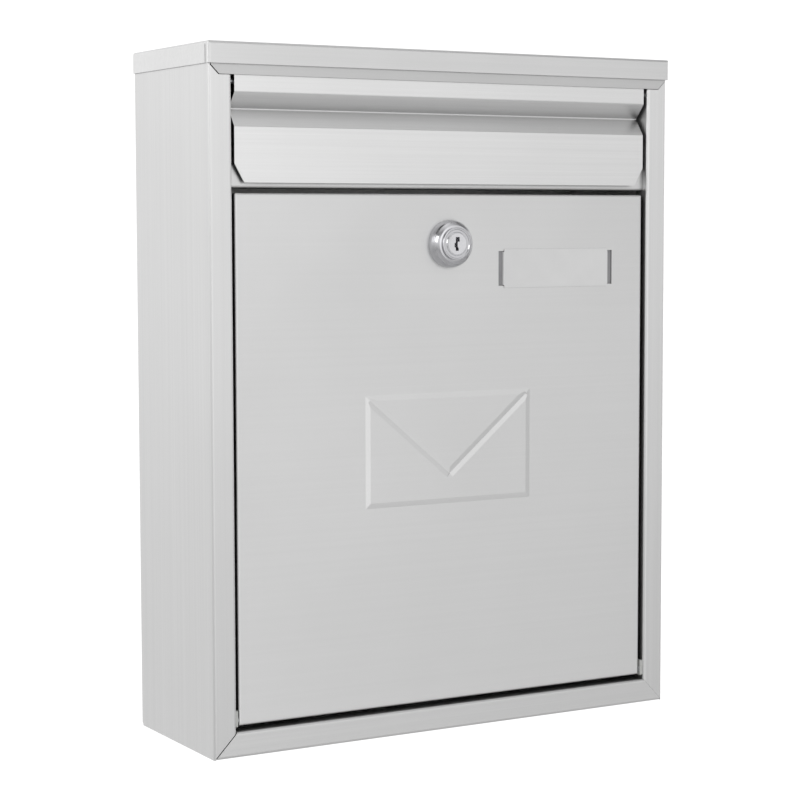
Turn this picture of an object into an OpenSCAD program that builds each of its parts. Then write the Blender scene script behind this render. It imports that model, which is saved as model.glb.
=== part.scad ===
// Wall mounted mailbox in brushed stainless sheet: a folded body with a roof cap, a grooved
// letter flap hung on a rod, and a bottom hinged door with a cam lock and a name strip.
// Frame: origin at the centre of the wall face, +X to the viewer's right, +Z up,
// the front faces -Y. Heights inside the modules are measured from the bottom edge.

/* [Body] */
// Width across the side panels
body_w = 280; // [262:1:340]
// Depth from the wall to the front flanges
body_d = 92; // [80:1:120]
// Height from the bottom edge to the top of the roof
total_h = 361; // [358:1:366]
// Thickness of the body sheet
sheet = 1.0; // [0.8:0.1:1.2]
// Width of the side flanges on the front
flange_w = 12.7; // [10:0.1:18]
// Height of the bottom flange on the front
sill_h = 13.1; // [10:0.1:14.5]
// Depth of the lips that turn back from the front flanges
flange_lip = 10; // [8:0.5:12]
// Height of the flange that joins the bottom panel to the back panel
rear_flange = 12; // [8:0.5:16]
// Distance of that flange's ends from the sides of the body
rear_inset = 13; // [8:1:30]
// Bend radius of the body sheet, at the middle of its thickness
bend_r = 1.0; // [0.8:0.1:1.4]
// Width of the open mitre seam at the lower front corners
seam = 0.1; // [0.1:0.1:0.5]
// Extra width of that seam at the left corner
seam_left = 0.6; // [0.1:0.1:0.8]

/* [Roof] */
// Thickness of the roof sheet
roof_sheet = 0.7; // [0.6:0.1:0.8]
// Height of the roof's folded edge
roof_lip = 11; // [9:0.5:14]
// Gap between the roof's side edges and the side panels
roof_gap = 0.2; // [0.1:0.1:0.5]
// Outer bend radius of the roof
roof_r = 1.6; // [1.2:0.1:2.4]
// Distance of the side seams behind the roof's front
roof_seam_back = 2.6; // [2:0.1:4]
// Width of the side seams
roof_seam = 0.6; // [0.2:0.1:0.8]
// Height of the hem folded up behind the roof's front edge
hem_h = 6; // [4:0.5:8]
// Thickness of the top rail under the roof's front edge
rail_sheet = 0.8; // [0.6:0.1:0.8]
// Height of the top rail that shows below the roof's front edge
rail_drop = 5.2; // [4:0.1:5.6]
// Size of the cut corners of the top rail
rail_cut = 4.5; // [3:0.1:5]
// Width of the open seam between the top rail and the side flanges
rail_seam = 0.3; // [0.2:0.1:0.6]
// Gap between the left end of the top rail and the left side panel
rail_gap = 0.5; // [0:0.1:0.8]

/* [Crossbar] */
// Height of the crossbar's lower edge
bar_z = 288.6; // [287.5:0.1:292]
// Height of the crossbar's face
bar_h = 12.6; // [11:0.1:15]
// Distance of the crossbar's face behind the front flanges
bar_recess = 4.4; // [4.2:0.1:4.6]
// Depth of the crossbar's two legs
bar_d = 12.7; // [12:0.1:13]

/* [Letter flap] */
// Gap between the flap or the door and the side flanges
gap = 2; // [1.5:0.1:3]
// Thickness of the flap sheet
flap_sheet = 0.8; // [0.6:0.1:1.0]
// Bend radius of the flap, at the middle of its sheet
flap_bend = 1.0; // [0.8:0.1:2]
// Height of the flap's lower edge
flap_z = 291.4; // [290:0.1:293]
// Height where the groove turns out into the lower band
groove_low = 319.2; // [315:0.1:322]
// Height of the bottom of the groove
groove_mid = 328.3; // [325:0.1:331]
// Height where the upper band turns into the groove
groove_high = 336.4; // [334:0.1:337]
// Depth of the groove, at the middle of the sheet
groove_depth = 7.2; // [5:0.1:8]
// Distance of the upper band behind the front flanges
flap_recess = 1.0; // [1.0:0.1:1.2]
// Distance of the lower band behind the front flanges
flap_low_recess = 1.6; // [1.2:0.1:1.8]
// Width of the cut lower corners
flap_cut_w = 5.5; // [4:0.1:8]
// Height of the cut lower corners
flap_cut_h = 9.5; // [6:0.1:12]
// Radius of the hinge rod
rod_r = 1.5; // [1.3:0.1:1.8]
// Height of the hinge rod
rod_z = 341.6; // [341:0.1:342]
// Length of each hinge knuckle
knuckle_len = 24; // [15:1:30]

/* [Door] */
// Height of the door's lower edge
door_z = 15.8; // [15.4:0.1:15.9]
// Height of the door's upper edge
door_top = 286.2; // [283:0.1:286.6]
// Distance of the door's face behind the front flanges
door_recess = 2.0; // [1.5:0.1:2.5]
// Thickness of the door sheet
door_sheet = 0.8; // [0.6:0.1:1.0]
// Depth of the door's folded edges
door_d = 15; // [12:0.5:15]
// Height of the hinge studs
hinge_z = 18.7; // [18.7:0.1:20]
// Distance of the hinge studs behind the front flanges
hinge_y = 4.0; // [3.8:0.1:6]
// Radius of the hinge studs
stud_r = 1.95; // [1.5:0.05:2.2]

/* [Envelope relief] */
// Width of the raised envelope
env_w = 102; // [80:1:140]
// Height of the envelope's lower edge
env_z = 122; // [60:1:160]
// Height of the envelope
env_h = 59.4; // [40:0.1:70]
// How far the envelope stands out of the door
env_rise = 0.4; // [0.4:0.1:1.0]
// Height of the point of the envelope's flap above its lower edge
env_point = 16; // [8:1:30]
// Width of the envelope's sloping walls
env_slope = 2.8; // [1:0.1:4]
// Width of the creases
crease_w = 5.2; // [3:0.1:8]
// Depth of the creases
crease_d = 0.35; // [0.25:0.05:0.35]

/* [Name strip] */
// Distance of the left slot from the middle of the door
slot_left = 32.6; // [25:0.1:40]
// Distance of the right slot from the middle of the door
slot_right = 103.2; // [90:0.1:105]
// Height of the middle of the slots
slot_z = 246.6; // [240:0.1:255]
// Width of each slot
slot_w = 3.4; // [3:0.1:5]
// Height of each slot
slot_h = 18.6; // [14:0.1:24]
// Height of the name strip
strip_h = 20.7; // [18:0.1:26]
// Thickness of the name strip
label_t = 0.4; // [0.3:0.1:0.5]

/* [Lock] */
// Height of the lock's axis
lock_z = 260; // [255:0.5:263]
// Radius of the rosette where it meets the door
rosette_r = 12.6; // [11:0.1:15]
// How far the lock stands out of the door
lock_out = 8.0; // [6:0.1:10]
// Radius of the lock's front disc
face_r = 8.6; // [8.4:0.1:9.5]
// Radius of the lock barrel
barrel_r = 8.0; // [7:0.1:8.2]
// Radius of the turning plug
plug_r = 5.5; // [4.5:0.1:6]
// Length of the cam from the lock's axis to its tip
cam_len = 36; // [33:0.5:40]
// Width of the cam
cam_w = 12; // [11:0.5:14]

/* [Wall fixing] */
// Spacing of the wall screw holes from side to side
hole_x = 200; // [120:1:230]
// Spacing of the wall screw holes from top to bottom
hole_z = 250; // [160:1:300]
// Radius of the wall screw holes
hole_r = 3.0; // [2:0.1:4]

/* [Hidden] */
$fn = 64;
running = 0.05;                             // radial clearance of shafts that turn
half_w = body_w / 2;
front = -body_d;                            // plane of the front flanges
body_h = total_h - roof_sheet;              // underside of the roof
opening = half_w - flange_w;                // half the width between the side flanges
panel_half = opening - gap;                 // half the width of the flap and of the door
lip_z = total_h - roof_lip;                 // lower edge of the roof's fold
hem_y = front - 0.05;                       // rear face of the roof's hem
roof_front = hem_y - 2 * roof_sheet;
rail_z = lip_z - rail_drop;                 // lower edge of the top rail
roof_half = half_w + roof_gap + roof_sheet;
rod_y = front + flap_recess + flap_sheet + rod_r + running + 1.05;
knuckle_r = rod_y - (front + flap_recess + flap_sheet);
flap_top = lip_z - 2.5;
door_y = front + door_recess;               // face of the door
door_back = door_y + door_sheet;
cam_y = front + bar_recess + bar_d + 0.4;   // front of the cam, just behind the crossbar
cam_t = 2;
plug_rear = cam_y - 0.2;
square = 5;                                 // side of the plug's square end
disc_t = 1.4;                               // thickness of the barrel's front disc
disc_back = disc_t - lock_out;              // its rear face, behind the door's face
pad_x = 105;                                // distance of the flap's pads from the middle
pad_r = 4;
leaf_x = 100;                               // distance of the outer hinge leaves from the middle
leaf_t = 0.8;
nut_r = 11.5;                               // across the corners of the lock's nut
nut_t = 4;
block_t = 1.3;                              // thickness of the block on each hinge bush
block_low = -3.4;                           // its ends, from the axis of the hinge
block_high = 5.2;
screw_r = 1.9;                              // radius of the cam screw's shank
head_r = 4.2;
head_t = 2.2;
stop_z = 262;                               // height of the middle of the door stops
stop_y = front + 19.6;                      // middle of the stop's turned leg
steel = [0.80, 0.80, 0.79];
chrome = [0.88, 0.88, 0.90];
zinc = [0.70, 0.71, 0.72];
rubber = [0.16, 0.16, 0.16];
nylon = [0.70, 0.71, 0.69];
strip_grey = [0.84, 0.84, 0.84];
clip_grey = [0.45, 0.45, 0.46];

// ---- small tools for folded sheet ----

function unit(v) = v / norm(v);
function left(v) = [-v[1], v[0]];
function turned(v, a) = [v[0] * cos(a) - v[1] * sin(a), v[0] * sin(a) + v[1] * cos(a)];
function turn_at(a, b, c) =
    let (d1 = unit(b - a), d2 = unit(c - b)) atan2(cross(d1, d2), d1 * d2);

// Arc of radius r - shift that rounds the corner b between a and c, for a bend of radius r
function arc_at(a, b, c, r, shift) =
    let (d1 = unit(b - a),
         turn = turn_at(a, b, c),
         hand = sign(turn),
         centre = b - d1 * r * tan(abs(turn) / 2) + left(d1) * hand * r,
         steps = max(2, ceil(abs(turn) / 15)))
    [for (k = [0:steps]) centre - turned(left(d1) * hand * (r - shift * hand), turn * k / steps)];

// One face of a bent sheet: side 1 is the left of the path and side -1 is the right
function sheet_face(path, side, t, r) =
    let (last = len(path) - 1, s = side * t / 2)
    [for (i = [0:last]) each
        i == 0 ? [path[0] + left(unit(path[1] - path[0])) * s]
        : i == last ? [path[i] + left(unit(path[i] - path[i - 1])) * s]
        : arc_at(path[i - 1], path[i], path[i + 1], r, s)];
function reversed(list) = [for (i = [len(list) - 1:-1:0]) list[i]];

// Section of a sheet of thickness t that follows a path, with every corner bent to radius r
module bent_sheet(path, t, r)
    polygon(concat(sheet_face(path, 1, t, r), reversed(sheet_face(path, -1, t, r))));

// Outline through the points [x, y, radius]
module rounded(points) {
    n = len(points);
    function xy(i) = [points[i % n][0], points[i % n][1]];
    polygon([for (i = [0:n - 1]) each
        points[i][2] == 0 ? [xy(i)] : arc_at(xy(i + n - 1), xy(i), xy(i + 1), points[i][2], 0)]);
}

// Extrusions of a flat section along each axis
module along_x(x0, x1) translate([x0, 0, 0]) rotate([90, 0, 90]) linear_extrude(x1 - x0) children();
module along_y(y0, y1) translate([0, y1, 0]) rotate([90, 0, 0]) linear_extrude(y1 - y0) children();
module along_z(z0, z1) translate([0, 0, z0]) linear_extrude(z1 - z0) children();
module x_rod(x0, x1, r) translate([x0, 0, 0]) rotate([0, 90, 0]) cylinder(r = r, h = x1 - x0);
module y_rod(y0, y1, r) translate([0, y1, 0]) rotate([90, 0, 0]) cylinder(r = r, h = y1 - y0);

// Both halves of something that is the same on the left and on the right
module both_sides() {
    children();
    mirror([1, 0, 0]) children();
}

// Lowers what is measured from the bottom edge into the part's own frame
module from_base() translate([0, 0, -total_h / 2]) children();

// Block with a closed face towards the front, rounded where its faces meet
module pan_block(x, z0, z1, y0, y1, r, corner_r) intersection() {
    along_z(z0, z1) rounded([[-x, y1, 0], [-x, y0, r], [x, y0, r], [x, y1, 0]]);
    along_x(-x, x) rounded([[y0, z0, r], [y1, z0, 0], [y1, z1, 0], [y0, z1, r]]);
    along_y(y0, y1) rounded([[-x, z0, corner_r], [x, z0, corner_r],
                             [x, z1, corner_r], [-x, z1, corner_r]]);
}

// ---- body ----

module back_panel() color(steel) from_base()
    difference() {
        along_y(-sheet, 0) rounded([[-half_w, 0, 2], [half_w, 0, 2],
                                    [half_w, body_h, 2], [-half_w, body_h, 2]]);
        for (x = [-1, 1], z = [-1, 1])
            translate([x * hole_x / 2, 0, total_h / 2 + z * hole_z / 2])
                y_rod(-sheet - 1, 1, hole_r);
    }

// Side panel on the right, with its front flange and lip; its rear edge meets the back panel
module side_panel() from_base()
    difference() {
        along_z(0, body_h) bent_sheet([
            [half_w - sheet / 2, -sheet],
            [half_w - sheet / 2, front + sheet / 2],
            [opening + sheet / 2, front + sheet / 2],
            [opening + sheet / 2, front + flange_lip]], sheet, bend_r);
        // mitre at the lower corner
        along_y(front - 1, front + flange_lip + 1) polygon([
            [opening - 5, -1], [half_w - sheet, -1], [half_w - sheet, sheet + seam],
            [opening, sill_h + seam], [opening - 5, sill_h + seam]]);
        // room for the top rail, whose corner is cut
        along_y(front - 1, front + flange_lip + 1) polygon([
            [opening - 5, rail_z - rail_seam], [half_w - sheet - rail_cut, rail_z - rail_seam],
            [half_w - sheet, rail_z + rail_cut - rail_seam], [half_w - sheet, total_h],
            [opening - 5, total_h]]);
        translate([0, rod_y, rod_z]) x_rod(opening - 1, opening + sheet + 1, rod_r + running);
        translate([0, front + hinge_y, hinge_z])
            x_rod(opening - 1, opening + sheet + 1, stud_r + 0.55);
    }

module right_side() color(steel) side_panel();

module left_side() color(steel) mirror([1, 0, 0]) side_panel();

module bottom_panel() color(steel) from_base()
    intersection() {
        union() {
            along_x(sheet - half_w, half_w - sheet) bent_sheet([
                [-sheet, sheet / 2],
                [front + sheet / 2, sheet / 2],
                [front + sheet / 2, sill_h - sheet / 2],
                [front + flange_lip, sill_h - sheet / 2]], sheet, bend_r);
            along_x(rear_inset - half_w, half_w - rear_inset) bent_sheet([
                [front / 2, sheet / 2],
                [-sheet * 1.5, sheet / 2],
                [-sheet * 1.5, rear_flange]], sheet, bend_r);
        }
        along_y(front - 1, 0) polygon([
            [sheet - half_w, -1], [half_w - sheet, -1], [half_w - sheet, sheet],
            [opening, sill_h], [seam_left - opening, sill_h],
            [seam_left + sheet - half_w, sheet], [sheet - half_w, sheet]]);
    }

module roof_cap() color(steel) from_base()
    difference() {
        union() {
            difference() {
                roof_block(0, lip_z, roof_r);
                roof_block(roof_sheet, lip_z - 1, roof_gap);
            }
            // hem folded up behind the front edge
            translate([-half_w, roof_front + roof_sheet, lip_z]) cube([body_w, roof_sheet, hem_h]);
        }
        both_sides() translate([roof_half - roof_sheet - 1, roof_front + roof_seam_back, lip_z - 1])
            cube([roof_sheet + 2, roof_seam, roof_lip - roof_sheet]);
    }

// The roof's outer block, or its hollow when it is shrunk by the sheet
module roof_block(inset, z0, r) {
    x = roof_half - inset;
    y = roof_front + inset;
    y1 = inset;                             // the hollow runs out of the open back
    z1 = total_h - inset;
    intersection() {
        along_z(z0, z1) rounded([[-x, y1, 0], [-x, y, r], [x, y, r], [x, y1, 0]]);
        along_x(-x, x) rounded([[y, z0, 0], [y1, z0, 0], [y1, z1, 0], [y, z1, r]]);
        along_y(y, y1) rounded([[-x, z0, 0], [x, z0, 0], [x, z1, r], [-x, z1, r]]);
    }
}

// Front flange at the top, between the side panels, with a leg turned back under the roof
module top_rail() color(steel) from_base() {
    left_end = sheet - half_w + rail_gap;
    intersection() {
        along_x(left_end, half_w - sheet) bent_sheet([
            [front + flange_lip, body_h - rail_sheet / 2],
            [front + rail_sheet / 2, body_h - rail_sheet / 2],
            [front + rail_sheet / 2, rail_z]], rail_sheet, bend_r);
        along_y(front - 1, 0) polygon([
            [left_end, total_h], [left_end, rail_z + rail_cut],
            [left_end + rail_cut, rail_z], [half_w - sheet - rail_cut, rail_z],
            [half_w - sheet, rail_z + rail_cut], [half_w - sheet, total_h]]);
    }
}

module crossbar() color(steel) from_base() {
    face = front + bar_recess;
    along_x(-opening, opening) bent_sheet([
        [face + bar_d, bar_z + bar_h - sheet / 2],
        [face + sheet / 2, bar_z + bar_h - sheet / 2],
        [face + sheet / 2, bar_z + sheet / 2],
        [face + bar_d, bar_z + sheet / 2]], sheet, bend_r);
}

module flap_rod() color(zinc) from_base()
    translate([0, rod_y, rod_z]) x_rod(-opening - sheet - 2, opening + sheet + 2, rod_r);

// Push-on clips that hold the ends of the rod
module rod_clips() color(zinc) from_base()
    both_sides() translate([0, rod_y, rod_z]) difference() {
        x_rod(opening + sheet, opening + sheet + 0.6, rod_r + 1.3);
        x_rod(opening, opening + sheet + 2, rod_r);
    }

// Rubber pads on the crossbar, behind the flap's lower band
module flap_pads() color(rubber) from_base() {
    back = front + flap_low_recess + flap_sheet;    // rear face of the lower band
    both_sides() translate([pad_x, 0, flap_z + pad_r]) y_rod(back + 0.3, front + bar_recess, pad_r);
}

// Small angles, welded behind the side flanges, that the closed door rests against
module door_stops() color(steel) from_base()
    both_sides() along_z(stop_z - 7, stop_z + 7) bent_sheet([
        [opening + sheet * 1.5, front + 3.5],
        [opening + sheet * 1.5, stop_y],
        [opening - 8, stop_y]], sheet, bend_r);

module door_buttons() color(rubber) from_base()
    both_sides() translate([panel_half - 1.4, 0, stop_z])
        y_rod(door_y + door_d + 0.3, stop_y - sheet / 2, 3);

// Bushes in the lips of the side flanges, each with an upright block beside the door
module door_bushes() color(nylon) from_base()
    both_sides() translate([0, front + hinge_y, hinge_z]) difference() {
        side = stud_r + 0.75;
        union() {
            along_x(opening - block_t, opening) rounded([
                [-side, block_low, 1], [side, block_low, 1],
                [side, block_high, 1], [-side, block_high, 1]]);
            x_rod(opening, opening + sheet + 1, stud_r + 0.55);
        }
        x_rod(opening - block_t - 1, opening + sheet + 2, stud_r + running);
    }

// ---- letter flap ----

module letter_flap() color(steel) from_base() {
    upper = front + flap_recess + flap_sheet / 2;
    lower = front + flap_low_recess + flap_sheet / 2;
    intersection() {
        along_x(-panel_half, panel_half) bent_sheet([
            [upper, flap_top], [upper, groove_high], [upper + groove_depth, groove_mid],
            [lower, groove_low], [lower, flap_z]], flap_sheet, flap_bend);
        along_y(front - 1, front + 20) rounded([
            [-panel_half, flap_top, 1], [-panel_half, flap_z + flap_cut_h, 1],
            [flap_cut_w - panel_half, flap_z, 1], [panel_half - flap_cut_w, flap_z, 1],
            [panel_half, flap_z + flap_cut_h, 1], [panel_half, flap_top, 1]]);
    }
}

// Three hinge leaves, each with the knuckle that turns on the rod
module flap_knuckles() color(steel) from_base()
    for (x = [-1, 0, 1] * leaf_x) translate([x, 0, 0]) difference() {
        union() {
            translate([-knuckle_len / 2, rod_y - knuckle_r, groove_high + 1])
                cube([knuckle_len, leaf_t, flap_top - groove_high - 2]);
            translate([0, rod_y, rod_z]) x_rod(-knuckle_len / 2, knuckle_len / 2, knuckle_r);
        }
        translate([0, rod_y, rod_z])
            x_rod(-knuckle_len / 2 - 1, knuckle_len / 2 + 1, rod_r + running);
    }

// ---- door ----

// Truncated pyramid that stands towards the front from the plane y, with walls that slope in
module envelope_block(y, rise, inset) {
    w = env_w / 2 - inset;
    z0 = env_z + inset;
    z1 = env_z + env_h - inset;
    intersection() {
        along_z(z0, z1) polygon([[-w, y + 2], [-w, y], [env_slope - w, y - rise],
                                 [w - env_slope, y - rise], [w, y], [w, y + 2]]);
        along_x(-w, w) polygon([[y + 2, z0], [y, z0], [y - rise, z0 + env_slope],
                                [y - rise, z1 - env_slope], [y, z1], [y + 2, z1]]);
    }
}

// Two V shaped creases from the envelope's top corners to the point of its flap
module creases(y, width, depth) {
    start = [env_w / 2 - 2.5, env_z + env_h - 2.5];
    point = [0, env_z + env_point];
    run = norm(start - point);
    above = 0.3;                            // how far the cutting wedge starts outside the sheet
    wide = width / 2 * (depth + above) / depth;
    both_sides() translate([point[0], y, point[1]])
        rotate([0, -atan2(start[1] - point[1], start[0] - point[0]), 0])
            along_x(0, run) polygon([[-above, -wide], [depth, 0], [-above, wide]]);
}

module door_panel() color(steel) from_base()
    difference() {
        union() {
            difference() {
                pan_block(panel_half, door_z, door_top, door_y, door_y + door_d, 1.3, 1.5);
                pan_block(panel_half - door_sheet, door_z + door_sheet, door_top - door_sheet,
                          door_back, door_y + door_d + 1, 0.5, 0.7);
            }
            intersection() {
                envelope_block(door_y, env_rise, 0);
                translate([-half_w, door_y - 2, 0]) cube([body_w, 2 + door_sheet / 2, total_h]);
            }
            // the creases show as low ridges behind the sheet
            intersection() {
                creases(door_back - env_rise, crease_w, crease_d);
                translate([-half_w, door_back - env_rise, 0]) cube([body_w, 2, total_h]);
            }
        }
        difference() {
            envelope_block(door_back, env_rise, 0.5);
            creases(door_back - env_rise, crease_w, crease_d);
        }
        creases(door_y - env_rise, crease_w, crease_d);
        for (x = [slot_left, slot_right]) translate([x - slot_w / 2, door_y - 1, slot_z - slot_h / 2])
            cube([slot_w, 3, slot_h]);
        translate([0, 0, lock_z]) y_rod(door_y - 1, door_y + 2, barrel_r + 0.1);
        both_sides() translate([0, front + hinge_y, hinge_z]) x_rod(panel_half - 2, panel_half + 1, 1);
    }

// Shoulder studs riveted into the door's lower corners, on which it turns
module hinge_studs() color(zinc) from_base()
    both_sides() translate([0, front + hinge_y, hinge_z]) {
        x_rod(panel_half - 1.4, panel_half, 1);
        x_rod(panel_half, opening + sheet + 1.3, stud_r);
    }

// Blank strip for a name; its narrower ends pass back through the slots
module name_strip() color(strip_grey) from_base() {
    plate_y = door_y - 0.15 - label_t / 2;
    left_edge = slot_left + slot_w / 2;     // edges of the slots next to the strip
    right_edge = slot_right - slot_w / 2;
    tab_h = slot_h - 0.8;
    intersection() {
        along_z(slot_z - strip_h / 2, slot_z + strip_h / 2) bent_sheet([
            [left_edge - 0.3, door_back], [left_edge - 0.3, plate_y],
            [right_edge + 0.3, plate_y], [right_edge + 0.3, door_back]], label_t, 0.3);
        along_y(door_y - 2, door_back + 2) polygon([
            [left_edge - 8, slot_z - tab_h / 2], [left_edge, slot_z - tab_h / 2],
            [left_edge, slot_z - strip_h / 2], [right_edge, slot_z - strip_h / 2],
            [right_edge, slot_z - tab_h / 2], [right_edge + 8, slot_z - tab_h / 2],
            [right_edge + 8, slot_z + tab_h / 2], [right_edge, slot_z + tab_h / 2],
            [right_edge, slot_z + strip_h / 2], [left_edge, slot_z + strip_h / 2],
            [left_edge, slot_z + tab_h / 2], [left_edge - 8, slot_z + tab_h / 2]]);
    }
}

// Plastic backing that closes the slots from behind and holds the strip's ends
module strip_clip() color(clip_grey) from_base() {
    x0 = slot_left - slot_w / 2 - 4;
    x1 = slot_right + slot_w / 2 + 4;
    z0 = slot_z - slot_h / 2 - 3;
    z1 = slot_z + slot_h / 2 + 3;
    along_y(door_back, door_back + 1.5) rounded([[x0, z0, 3], [x1, z0, 3], [x1, z1, 3], [x0, z1, 3]]);
}

// ---- lock ----

// Turns a section given as [radius, distance behind the door's face] about the lock's axis
module lock_turned() from_base()
    translate([0, door_y, lock_z]) rotate([-90, 0, 0]) rotate_extrude($fn = 96) children();

module lock_rosette() color(chrome) lock_turned() {
    flare = rosette_r - face_r - 0.2;
    // a low rim, then a hollow flare up to the disc
    polygon(concat(
        [[barrel_r + 0.05, 0], [rosette_r, 0], [rosette_r, -0.9]],
        [for (k = [1:6]) [rosette_r - flare * (1 - cos(15 * k)), -0.9 + (disc_back + 0.9) * sin(15 * k)]],
        [[barrel_r + 0.05, disc_back]]));
}

module lock_barrel() color(chrome) lock_turned()
    polygon(concat(
        [[plug_r + running, -lock_out], [plug_r + 0.5, -lock_out], [plug_r + 0.8, 0.35 - lock_out],
         [face_r - 1.2, 0.35 - lock_out], [face_r - 0.9, -lock_out]],
        [for (k = [0:3]) [face_r - 0.5 + 0.5 * sin(30 * k), 0.5 - lock_out - 0.5 * cos(30 * k)]],
        [[face_r, disc_back], [barrel_r, disc_back],
         [barrel_r, plug_rear - door_y - 0.1], [plug_r + running, plug_rear - door_y - 0.1]]));

module lock_nut() color(zinc) from_base()
    translate([0, 0, lock_z]) difference() {
        translate([0, door_back + nut_t, 0]) rotate([90, 0, 0]) cylinder(r = nut_r, h = nut_t, $fn = 6);
        y_rod(door_back - 1, door_back + nut_t + 1, barrel_r + 0.02);
    }

// Section of the key: an upright slot with a ward on each side
module keyway() polygon([
    [-0.9, -3.6], [0.9, -3.6], [0.9, -2.2], [0.3, -1.6], [0.3, 1.2], [1.5, 1.2],
    [1.5, 3.6], [-0.9, 3.6], [-0.9, 0.6], [-1.6, 0.6], [-1.6, -1.8], [-0.9, -1.8]]);

module lock_plug() color(chrome) from_base()
    translate([0, 0, lock_z]) difference() {
        union() {
            y_rod(door_y - lock_out - 0.1, plug_rear, plug_r);
            translate([-square / 2, plug_rear, -square / 2]) cube([square, cam_t, square]);
        }
        along_y(door_y - lock_out - 1, door_y - lock_out + 9) keyway();
        y_rod(cam_y - 7, cam_y + cam_t + 1, screw_r);
    }

module lock_cam() color(zinc) from_base()
    translate([0, 0, lock_z]) difference() {
        along_y(cam_y, cam_y + cam_t) rounded([
            [-cam_w / 2 - 2, -cam_w / 2, 5], [cam_len, -cam_w / 2 + 1, 4],
            [cam_len, cam_w / 2 - 1, 4], [-cam_w / 2 - 2, cam_w / 2, 5]]);
        translate([-square / 2, cam_y - 1, -square / 2]) cube([square, cam_t + 2, square]);
    }

module cam_screw() color(zinc) from_base()
    translate([0, cam_y + cam_t, lock_z]) difference() {
        union() {
            y_rod(-8.5, 0, screw_r);
            y_rod(0, head_t, head_r);
        }
        for (a = [0, 90]) rotate([0, a, 0]) translate([-2.4, 1, -0.5]) cube([4.8, 2, 1]);
    }

back_panel();
left_side();
right_side();
bottom_panel();
roof_cap();
top_rail();
crossbar();
flap_rod();
rod_clips();
flap_pads();
door_stops();
door_buttons();
door_bushes();
letter_flap();
flap_knuckles();
door_panel();
hinge_studs();
name_strip();
strip_clip();
lock_rosette();
lock_barrel();
lock_nut();
lock_plug();
lock_cam();
cam_screw();
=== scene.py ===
"""Looks for the wall mounted mailbox: brushed steel sheet, plated lock, rubber and nylon.

Everything is in metres, in the frame of the CAD part: +X to the viewer's right, +Z up, front at -Y.
The CAD nodes keep their shape. Here they get materials, softened edges and smooth shading.
"""

import math

import bmesh
import bpy
from mathutils import Matrix, Vector


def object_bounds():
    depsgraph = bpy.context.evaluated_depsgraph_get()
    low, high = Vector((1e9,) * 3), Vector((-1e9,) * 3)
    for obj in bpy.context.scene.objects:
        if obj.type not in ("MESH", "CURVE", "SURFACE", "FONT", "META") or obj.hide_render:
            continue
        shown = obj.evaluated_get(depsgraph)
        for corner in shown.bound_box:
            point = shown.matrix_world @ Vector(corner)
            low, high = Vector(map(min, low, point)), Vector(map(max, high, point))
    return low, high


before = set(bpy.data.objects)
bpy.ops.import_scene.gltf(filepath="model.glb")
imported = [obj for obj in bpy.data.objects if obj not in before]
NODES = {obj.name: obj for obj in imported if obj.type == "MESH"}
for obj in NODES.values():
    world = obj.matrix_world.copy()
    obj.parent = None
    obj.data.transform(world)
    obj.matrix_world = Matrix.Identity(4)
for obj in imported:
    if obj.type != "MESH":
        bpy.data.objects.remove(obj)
cad_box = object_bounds()
MM = 0.001


# ---- helpers for nodes ----

class Nodes:
    """An emptied node tree with a short way to add and link nodes."""

    def __init__(self, tree):
        self.tree = tree
        self.tree.nodes.clear()

    def add(self, kind, **settings):
        node = self.tree.nodes.new(kind)
        for key, value in settings.items():
            setattr(node, key, value)
        return node

    def link(self, source, target):
        self.tree.links.new(source, target)

    def span(self, value, low, high, to_low=0.0, to_high=1.0, smooth=False):
        """Value from low..high spread to to_low..to_high, and held at the ends."""
        node = self.add("ShaderNodeMapRange")
        node.interpolation_type = "SMOOTHSTEP" if smooth else "LINEAR"
        for socket, number in zip(("From Min", "From Max", "To Min", "To Max"),
                                  (low, high, to_low, to_high)):
            node.inputs[socket].default_value = number
        self.link(value, node.inputs["Value"])
        return node.outputs["Result"]

    def math(self, operation, a, b):
        node = self.add("ShaderNodeMath", operation=operation)
        for socket, value in zip(node.inputs, (a, b)):
            if isinstance(value, (int, float)):
                socket.default_value = value
            else:
                self.link(value, socket)
        return node.outputs["Value"]


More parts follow.
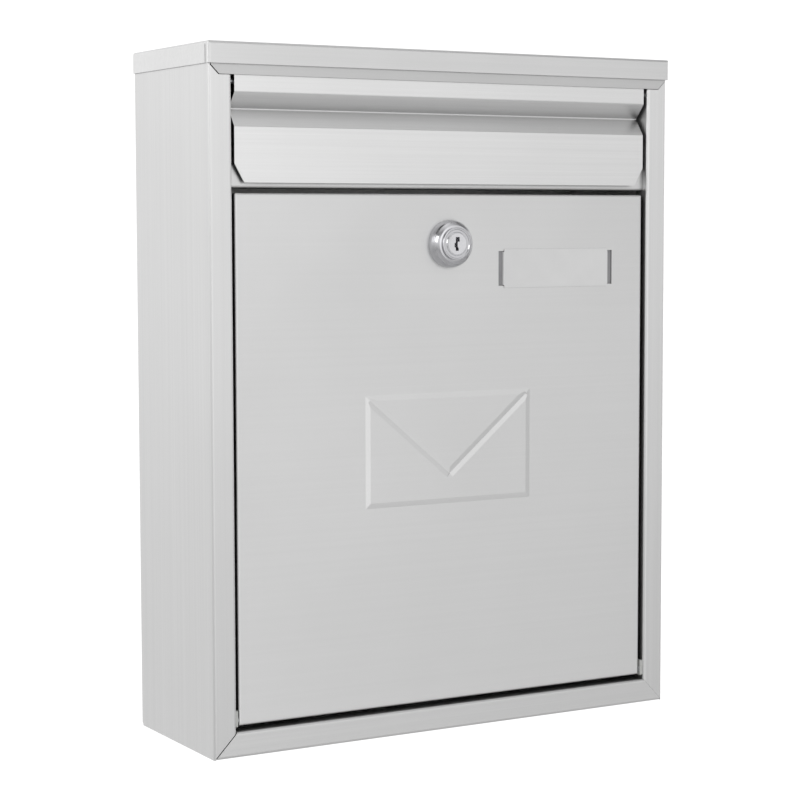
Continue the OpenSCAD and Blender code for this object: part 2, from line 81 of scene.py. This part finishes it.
class Shader(Nodes):
    """A node material with the textures and masks that the looks are made of."""

    def __init__(self, name):
        self.material = bpy.data.materials.new(name)
        self.material.use_nodes = True
        super().__init__(self.material.node_tree)
        self.surface = self.add("ShaderNodeBsdfPrincipled")
        output = self.add("ShaderNodeOutputMaterial")
        self.link(self.surface.outputs["BSDF"], output.inputs["Surface"])
        coordinates = self.add("ShaderNodeTexCoord")
        self.place = coordinates.outputs["Object"]
        self.facing = coordinates.outputs["Normal"]

    def set(self, **values):
        """Constant values, given straight to the shader's sockets."""
        for key, value in values.items():
            self.surface.inputs[key.replace("_", " ")].default_value = value

    def noise(self, scale, stretch=(1, 1, 1), detail=3.0, rough=0.5, shift=(0, 0, 0)):
        """Noise with its own stretch along each axis: a high number gives fine detail."""
        mapping = self.add("ShaderNodeMapping")
        mapping.inputs["Scale"].default_value = stretch
        mapping.inputs["Location"].default_value = shift
        self.link(self.place, mapping.inputs["Vector"])
        noise = self.add("ShaderNodeTexNoise")
        noise.inputs["Scale"].default_value = scale
        noise.inputs["Detail"].default_value = detail
        noise.inputs["Roughness"].default_value = rough
        self.link(mapping.outputs["Vector"], noise.inputs["Vector"])
        return noise.outputs["Fac"]

    def mix(self, factor, first, second):
        """A colour between first and second, which are tuples or sockets."""
        node = self.add("ShaderNodeMix", data_type="RGBA")
        self.link(factor, node.inputs["Factor"])
        # a Mix node has sockets A and B for each data type: those for colours are found by number
        for socket, value in ((node.inputs[6], first), (node.inputs[7], second)):
            if isinstance(value, tuple):
                socket.default_value = (*value, 1.0)
            else:
                self.link(value, socket)
        return node.outputs[2]

    def y_of(self, vector):
        """The Y value of a vector: depth from front to back for a place."""
        axes = self.add("ShaderNodeSeparateXYZ")
        self.link(vector, axes.inputs["Vector"])
        return axes.outputs["Y"]

    def bump(self, height, depth, strength=1.0, after=None):
        node = self.add("ShaderNodeBump")
        node.inputs["Strength"].default_value = strength
        node.inputs["Distance"].default_value = depth
        self.link(height, node.inputs["Height"])
        if after is not None:
            self.link(after, node.inputs["Normal"])
        return node.outputs["Normal"]

    def edge_wear(self, radius):
        """1 along the corners of the sheet and 0 on its flats, from the bevelled normal."""
        bevel = self.add("ShaderNodeBevel", samples=4)
        bevel.inputs["Radius"].default_value = radius
        flat = self.add("ShaderNodeNewGeometry").outputs["Normal"]
        dot = self.add("ShaderNodeVectorMath", operation="DOT_PRODUCT")
        self.link(bevel.outputs["Normal"], dot.inputs[0])
        self.link(flat, dot.inputs[1])
        return self.span(dot.outputs["Value"], 0.98, 0.80)

    def gap_shade_mask(self, reach):
        """1 in gaps much narrower than reach and 0 on open faces: the mask of a painted shade."""
        nearby = self.add("ShaderNodeAmbientOcclusion", samples=6)
        nearby.inputs["Distance"].default_value = reach
        return self.span(nearby.outputs["AO"], 0.15, 0.60, 1.0, 0.0)


def per_axis(along, value, others):
    """A vector with value on the axis along, and others on the two that are left."""
    return tuple(value if axis == along else others for axis in range(3))


def scaled(tone, factor):
    """A tone made darker or lighter."""
    return tuple(min(1.0, c * factor) for c in tone)


# ---- materials ----

ALONG_X, ALONG_Z = 0, 2

# Noise on the brushed sheet, as (scale, stretch along its grain, detail, roughness of the noise).
# A small stretch draws the marks out.
GRAIN = (2600, 0.012, 4, 0.65)
STREAKS = (420, 0.006, 5, 0.7)
SCRATCHES = (900, 0.05, 1, 0.4)
CLOUDS = (9, 1.0, 3, 0.55)
WAVES = (14, 1.0, 1, 0.3)
GRAIN_HEIGHT = 0.012 * MM
SCRATCH_HEIGHT = -0.01 * MM
WAVE_HEIGHT = 0.25 * MM

# How far streaks change the sheet's tone each way, for streak=1
STREAK_DARKER = 0.045
STREAK_LIGHTER = 0.035
# Worn corners, cloudy patches and painted shade in gaps are mixed over it, each by its share. Wear
# reaches
# WEAR_RADIUS from a corner, and the painted shade lies in gaps much narrower than its reach.
WEAR_RADIUS = 0.5 * MM
WEAR_SHARE = 0.5
WEAR_TONE = 0.97
CLOUD_SHARE = 0.08
CLOUD_TINT = (0.80, 0.80, 0.78)
GAP_SHADE_REACH = 6 * MM
GAP_SHADE_SHARE = 0.85
# Tone that the sheet goes towards in the painted shade of narrow gaps and of the flap's groove
PAINTED_SHADE_TONE = (0.02, 0.02, 0.02)

# The flap's groove, measured forwards from its bottom: its painted shade grows from GROOVE_DEPTH to
# GROOVE_FULL and ends within GROOVE_END, which keeps it off the back of the sheet
GROOVE_DEPTH = 6.2 * MM
GROOVE_FULL = 0.5 * MM
GROOVE_END = (0.3 * MM, 0.1 * MM)
GROOVE_SHARE = 0.26
FLAP_SHEET = 0.8 * MM


def shaded_groove(shader, colour, bottom):
    """Colour with the walls of a groove in the front darker towards its bottom, a painted shade.

    bottom is the Y value of the groove's bottom.
    """
    # painted shade: the front walls of the groove go darker towards its bottom
    depth = shader.y_of(shader.place)
    growing = shader.span(depth, bottom - GROOVE_DEPTH, bottom - GROOVE_FULL, 0.0, GROOVE_SHARE)
    ending = shader.span(depth, bottom - GROOVE_END[0], bottom - GROOVE_END[1], 1.0, 0.0)
    groove_shade = shader.math("MULTIPLY", growing, ending)
    in_front = shader.span(shader.y_of(shader.facing), -0.2, 0.0, 1.0, 0.0)
    return shader.mix(shader.math("MULTIPLY", groove_shade, in_front), colour, PAINTED_SHADE_TONE)


def brushed(name, along, tone, roughness=0.36, streak=1.0, shift=(0, 0, 0), groove=None):
    """Brushed stainless sheet. along is the axis of its grain.

    streak is how strongly the long brushing marks show, and shift moves them so that no two
    materials have the same. groove is the Y value of the bottom of a groove in the front.
    """
    shader = Shader(name)

    def marks(scale, stretch, detail, rough):
        return shader.noise(scale, per_axis(along, stretch, 1.0), detail, rough, shift)

    grain = marks(*GRAIN)
    streaks = marks(*STREAKS)
    scratches = marks(*SCRATCHES)
    clouds = marks(*CLOUDS)
    streaky = shader.mix(shader.span(streaks, 0.35, 0.65),
                         scaled(tone, 1 - STREAK_DARKER * streak),
                         scaled(tone, 1 + STREAK_LIGHTER * streak))
    worn = shader.mix(shader.math("MULTIPLY", shader.edge_wear(WEAR_RADIUS), WEAR_SHARE),
                      streaky, scaled(tone, WEAR_TONE))
    colour = shader.mix(shader.span(clouds, 0.3, 0.7, 0.0, CLOUD_SHARE), worn,
                        tuple(c * factor for c, factor in zip(tone, CLOUD_TINT)))
    # painted shade on the walls of the flap's groove, darker towards its bottom
    if groove is not None:
        colour = shaded_groove(shader, colour, groove)
    # painted shade: the sheet goes darker in narrow gaps, where shade falls
    gap_shaded = shader.mix(shader.math("MULTIPLY", shader.gap_shade_mask(GAP_SHADE_REACH), GAP_SHADE_SHARE), colour, PAINTED_SHADE_TONE)
    shader.link(gap_shaded, shader.surface.inputs["Base Color"])

    streaky_rough = shader.span(streaks, 0.3, 0.7, roughness - 0.03 * streak, roughness + 0.04 * streak)
    cloudy_rough = shader.span(clouds, 0.35, 0.7, -0.01, 0.03)
    shader.link(shader.math("ADD", streaky_rough, cloudy_rough), shader.surface.inputs["Roughness"])

    # the highlight is drawn out across the grain, so the grain's direction is turned by a quarter
    shader.set(Metallic=1.0, Anisotropic=0.55, Anisotropic_Rotation=0.25)
    grain_way = shader.add("ShaderNodeVectorTransform", vector_type="VECTOR",
                           convert_from="OBJECT", convert_to="WORLD")
    # slightly askew, so that it is never square to a face
    grain_way.inputs["Vector"].default_value = per_axis(along, 1.0, 0.02)
    shader.link(grain_way.outputs["Vector"], shader.surface.inputs["Tangent"])

    normal = shader.bump(grain, GRAIN_HEIGHT, 0.30 + 0.12 * streak)
    deep = shader.span(scratches, 0.70, 0.76)
    normal = shader.bump(deep, SCRATCH_HEIGHT, 0.30 * streak, after=normal)
    normal = shader.bump(marks(*WAVES), WAVE_HEIGHT, 0.22, after=normal)
    shader.link(normal, shader.surface.inputs["Normal"])
    return shader.material


def plated(name, tone, roughness):
    """Bright plating with faint polishing marks and dulled patches."""
    shader = Shader(name)
    patches = shader.noise(160, detail=4, rough=0.6)
    marks = shader.noise(1500, detail=2)
    shader.link(shader.mix(shader.span(patches, 0.35, 0.7), tone, scaled(tone, 0.93)),
                shader.surface.inputs["Base Color"])
    shader.link(shader.span(patches, 0.35, 0.75, roughness, roughness + 0.09),
                shader.surface.inputs["Roughness"])
    shader.set(Metallic=1.0)
    shader.link(shader.bump(marks, 0.004 * MM, 0.3), shader.surface.inputs["Normal"])
    return shader.material


def moulded(name, tone, roughness, grain, depth, mottled=0.12):
    """Moulded rubber or plastic with a fine matt texture.

    grain is the fineness of the texture, depth its height, and mottled how uneven the tone is.
    """
    shader = Shader(name)
    texture = shader.noise(grain, detail=4, rough=0.6)
    mottle = shader.noise(90)
    shader.link(shader.mix(shader.span(mottle, 0.3, 0.7), scaled(tone, 1 - mottled), tone),
                shader.surface.inputs["Base Color"])
    shader.link(shader.span(texture, 0.3, 0.7, roughness - 0.06, roughness + 0.06),
                shader.surface.inputs["Roughness"])
    shader.set(Metallic=0.0)
    shader.link(shader.bump(texture, depth, 0.6), shader.surface.inputs["Normal"])
    return shader.material


STEEL = (0.755, 0.755, 0.755)
SIDES = (0.73, 0.73, 0.73)
ROOF = (0.745, 0.745, 0.745)
DOOR = (0.80, 0.80, 0.80)
FLAP = (0.83, 0.83, 0.83)
# the top rail's darker tone is a painted shade: it stands for the shadow under the roof's lip
RAIL_SHADED = (0.67, 0.67, 0.67)
# the bottom of the groove is the rearmost part of the flap
groove_bottom = max(vertex.co.y for vertex in NODES["letter_flap"].data.vertices) - FLAP_SHEET
flap_look = {"along": ALONG_X, "tone": FLAP, "roughness": 0.32, "streak": 0.8, "shift": (0.2, 0.9, 0.4)}

grain_x = brushed("brushed_steel_across", ALONG_X, STEEL, streak=0.7)
grain_flap = brushed("brushed_steel_flap", groove=groove_bottom, **flap_look)
grain_leaf = brushed("brushed_steel_leaf", **flap_look)
grain_door = brushed("brushed_steel_door", ALONG_X, DOOR, 0.42, streak=0.25, shift=(0.3, 0.1, 0.7))
grain_up = brushed("brushed_steel_upright", ALONG_Z, SIDES, streak=0.7, shift=(0.1, 0.5, 0.2))
grain_roof = brushed("brushed_steel_roof", ALONG_X, ROOF, 0.34, streak=0.8, shift=(0.5, 0.2, 0.9))
# darker copy of the steel for the top rail, a painted shadow of the roof's lip
grain_rail_shaded = brushed("brushed_steel_rail_shaded", ALONG_X, RAIL_SHADED, 0.40, streak=0.6, shift=(0.7, 0.6, 0.1))
chrome = plated("chrome_plate", (0.62, 0.62, 0.64), 0.10)
plug_face = plated("plug_plate", (0.74, 0.74, 0.76), 0.22)
zinc = plated("zinc_plate", (0.58, 0.59, 0.61), 0.38)
rubber = moulded("black_rubber", (0.03, 0.03, 0.03), 0.62, 2500, 0.03 * MM)
nylon = moulded("grey_nylon", (0.60, 0.61, 0.59), 0.42, 1800, 0.01 * MM)
strip = moulded("name_strip_plastic", (0.80, 0.80, 0.80), 0.34, 1400, 0.008 * MM, mottled=0.03)
# grey plastic behind the name slots; its dark tone also stands in for the shade inside the slots, partly
# a painted shade
slot_shade_backing = moulded("grey_backing_plastic_shaded", (0.34, 0.34, 0.35), 0.52, 1500, 0.02 * MM)

LOOKS = {
    "back_panel": grain_up,
    "left_side": grain_up,
    "right_side": grain_up,
    "bottom_panel": grain_x,
    "roof_cap": grain_roof,
    "top_rail": grain_rail_shaded,
    "crossbar": grain_x,
    "flap_rod": zinc,
    "rod_clips": zinc,
    "flap_pads": rubber,
    "door_stops": grain_up,
    "door_buttons": rubber,
    "door_bushes": nylon,
    "letter_flap": grain_flap,
    "flap_knuckles": grain_leaf,
    "door_panel": grain_door,
    "hinge_studs": zinc,
    "name_strip": strip,
    "strip_clip": slot_shade_backing,
    "lock_rosette": chrome,
    "lock_barrel": chrome,
    "lock_nut": zinc,
    "lock_plug": plug_face,
    "lock_cam": zinc,
    "cam_screw": zinc,
}

# Sharp edges, those that turn by more than the angle, are rounded by this much
EDGE_ROUNDING = 0.12 * MM
EDGE_ANGLE = math.radians(40)


def finish_node(node, material):
    """Gives a CAD node its material, softened edges and smooth shading round its bends."""
    obj = NODES[node]
    obj.data.materials.clear()
    obj.data.materials.append(material)
    obj.data.polygons.foreach_set("use_smooth", [True] * len(obj.data.polygons))
    bevel = obj.modifiers.new("softened_edges", "BEVEL")
    bevel.width = EDGE_ROUNDING
    bevel.segments = 2
    bevel.limit_method = "ANGLE"
    bevel.angle_limit = EDGE_ANGLE
    bevel.harden_normals = True
    shading = obj.modifiers.new("even_shading", "WEIGHTED_NORMAL")
    shading.keep_sharp = True


for node_name, look in LOOKS.items():
    finish_node(node_name, look)


# ---- studio: floor, world, light, camera ----

FLOOR_HALF = 3.0            # half the floor's width
FLOOR_DROP = 1.2            # from the mailbox's lowest point down to the floor
FLOOR_TONES = ((0.68, 0.68, 0.68), (0.72, 0.72, 0.72))
# Glow of the floor, as (from, to, value at from, value at to) along Y
FLOOR_GLOW = (0.3, 2.9, 0.0, 0.5)

# Brightness of the surroundings, as (from, to, value at from, value at to) along a direction.
# The room is in front of the mailbox, whose front reflects it; the backdrop is behind the mailbox.
# Along X:
ROOM_ACROSS = (-0.05, 0.95, 1.36, 0.56)
ROOM_LEFT = (-0.6, 0.1, 0.58, 1.0)
BACKDROP_ACROSS = (-0.75, 0.0, 1.03, 1.08)
# Along Z:
ROOM_BELOW = (-0.55, 0.22, 0.50, 1.18)
ROOM_ABOVE = (0.28, 0.54, 1.0, 0.34)
ROOM_CEILING = (0.60, 0.86, 0.0, 0.30)
BACKDROP_UP = (0.35, 0.95, 1.0, 0.35)
# On its left the backdrop is dimmer below eye level: the brighter of these two counts, the first
# along Z and the second along X
BACKDROP_LOW = (-0.30, 0.16, 0.72, 1.05)
BACKDROP_LEFT = (-0.85, -0.05, 0.0, 1.05)
# Bright strip at the far right along X, which lights the bends that turn that way
STRIP_RIGHT = (0.92, 1.0, 0.0, 0.7)
# Share of the backdrop along Y, where it takes over from the room
BACKDROP_SHARE = (-0.05, 0.45, 0.0, 1.0)

CAMERA_PLACE = (-0.5928, -1.0695, 0.0906)
# Yaw to the right, pitch upwards and roll, in degrees
CAMERA_TURN = (29.87, -4.69, -0.12)
CAMERA_LENS = 97.16


def make_floor():
    """Plain pale floor below the mailbox, which hangs at its usual height on a wall."""
    mesh = bpy.data.meshes.new("floor")
    edit = bmesh.new()
    bmesh.ops.create_grid(edit, x_segments=1, y_segments=1, size=FLOOR_HALF)
    edit.to_mesh(mesh)
    edit.free()
    floor = bpy.data.objects.new("floor", mesh)
    floor.location = (0, 0, cad_box[0][2] - FLOOR_DROP)
    shader = Shader("pale_floor")
    mottle = shader.noise(3)
    shader.link(shader.mix(shader.span(mottle, 0.3, 0.7), *FLOOR_TONES),
                shader.surface.inputs["Base Color"])
    shader.set(Roughness=0.8, Emission_Color=(1, 1, 1, 1))
    # its far side is lit up to meet the white backdrop
    shader.link(shader.span(shader.y_of(shader.place), *FLOOR_GLOW, smooth=True),
                shader.surface.inputs["Emission Strength"])
    mesh.materials.append(shader.material)
    bpy.context.scene.collection.objects.link(floor)


def make_world():
    """White backdrop behind the mailbox, and in front a room brighter on the left and at eye level."""
    world = bpy.data.worlds.new("studio")
    bpy.context.scene.world = world
    world.use_nodes = True
    nodes = Nodes(world.node_tree)

    def along(axis, band):
        return nodes.span(axis, *band, smooth=True)

    def times(a, b):
        return nodes.math("MULTIPLY", a, b)

    axes = nodes.add("ShaderNodeSeparateXYZ")
    nodes.link(nodes.add("ShaderNodeTexCoord").outputs["Generated"], axes.inputs["Vector"])
    x, y, z = axes.outputs
    above = nodes.math("ADD", along(z, ROOM_ABOVE), along(z, ROOM_CEILING))
    room = times(times(along(x, ROOM_ACROSS), along(x, ROOM_LEFT)), times(along(z, ROOM_BELOW), above))
    low = nodes.math("MAXIMUM", along(z, BACKDROP_LOW), along(x, BACKDROP_LEFT))
    backdrop = times(times(along(x, BACKDROP_ACROSS), low), along(z, BACKDROP_UP))
    # sockets by number: the factor and the two values of a Mix node for plain numbers
    mix = nodes.add("ShaderNodeMix", data_type="FLOAT")
    for socket, value in ((0, along(y, BACKDROP_SHARE)), (2, room), (3, backdrop)):
        nodes.link(value, mix.inputs[socket])
    background = nodes.add("ShaderNodeBackground")
    output = nodes.add("ShaderNodeOutputWorld")
    nodes.link(nodes.math("ADD", mix.outputs[0], along(x, STRIP_RIGHT)), background.inputs["Color"])
    nodes.link(background.outputs["Background"], output.inputs["Surface"])


def soft_light(name, place, aim, size, power):
    """A large soft rectangular light at place, turned towards aim."""
    data = bpy.data.lights.new(name, "AREA")
    data.shape = "RECTANGLE"
    data.size, data.size_y = size
    data.energy = power
    light = bpy.data.objects.new(name, data)
    light.location = place
    light.rotation_euler = (Vector(aim) - Vector(place)).to_track_quat("-Z", "Y").to_euler()
    bpy.context.scene.collection.objects.link(light)


def make_camera():
    """Camera to the left of the front and a little above the middle, looking slightly down."""
    yaw, pitch, roll = (math.radians(angle) for angle in CAMERA_TURN)
    forward = Vector((math.sin(yaw) * math.cos(pitch), math.cos(yaw) * math.cos(pitch), math.sin(pitch)))
    right = Vector((math.cos(yaw), -math.sin(yaw), 0))
    up = right.cross(forward)
    data = bpy.data.cameras.new("camera")
    data.sensor_width = 36
    data.lens = CAMERA_LENS
    data.clip_end = 60
    camera = bpy.data.objects.new("camera", data)
    rolled_right = right * math.cos(roll) + up * math.sin(roll)
    rolled_up = up * math.cos(roll) - right * math.sin(roll)
    turn = Matrix((rolled_right, rolled_up, -forward)).transposed()
    camera.matrix_world = Matrix.Translation(CAMERA_PLACE) @ turn.to_4x4()
    bpy.context.scene.collection.objects.link(camera)
    bpy.context.scene.camera = camera


bpy.context.scene.view_settings.view_transform = "Standard"
make_floor()
make_world()
soft_light("key_light", place=(-2.4, -0.9, 0.95), aim=(0.0, 0.0, 0.0), size=(1.1, 1.1), power=9)
make_camera()
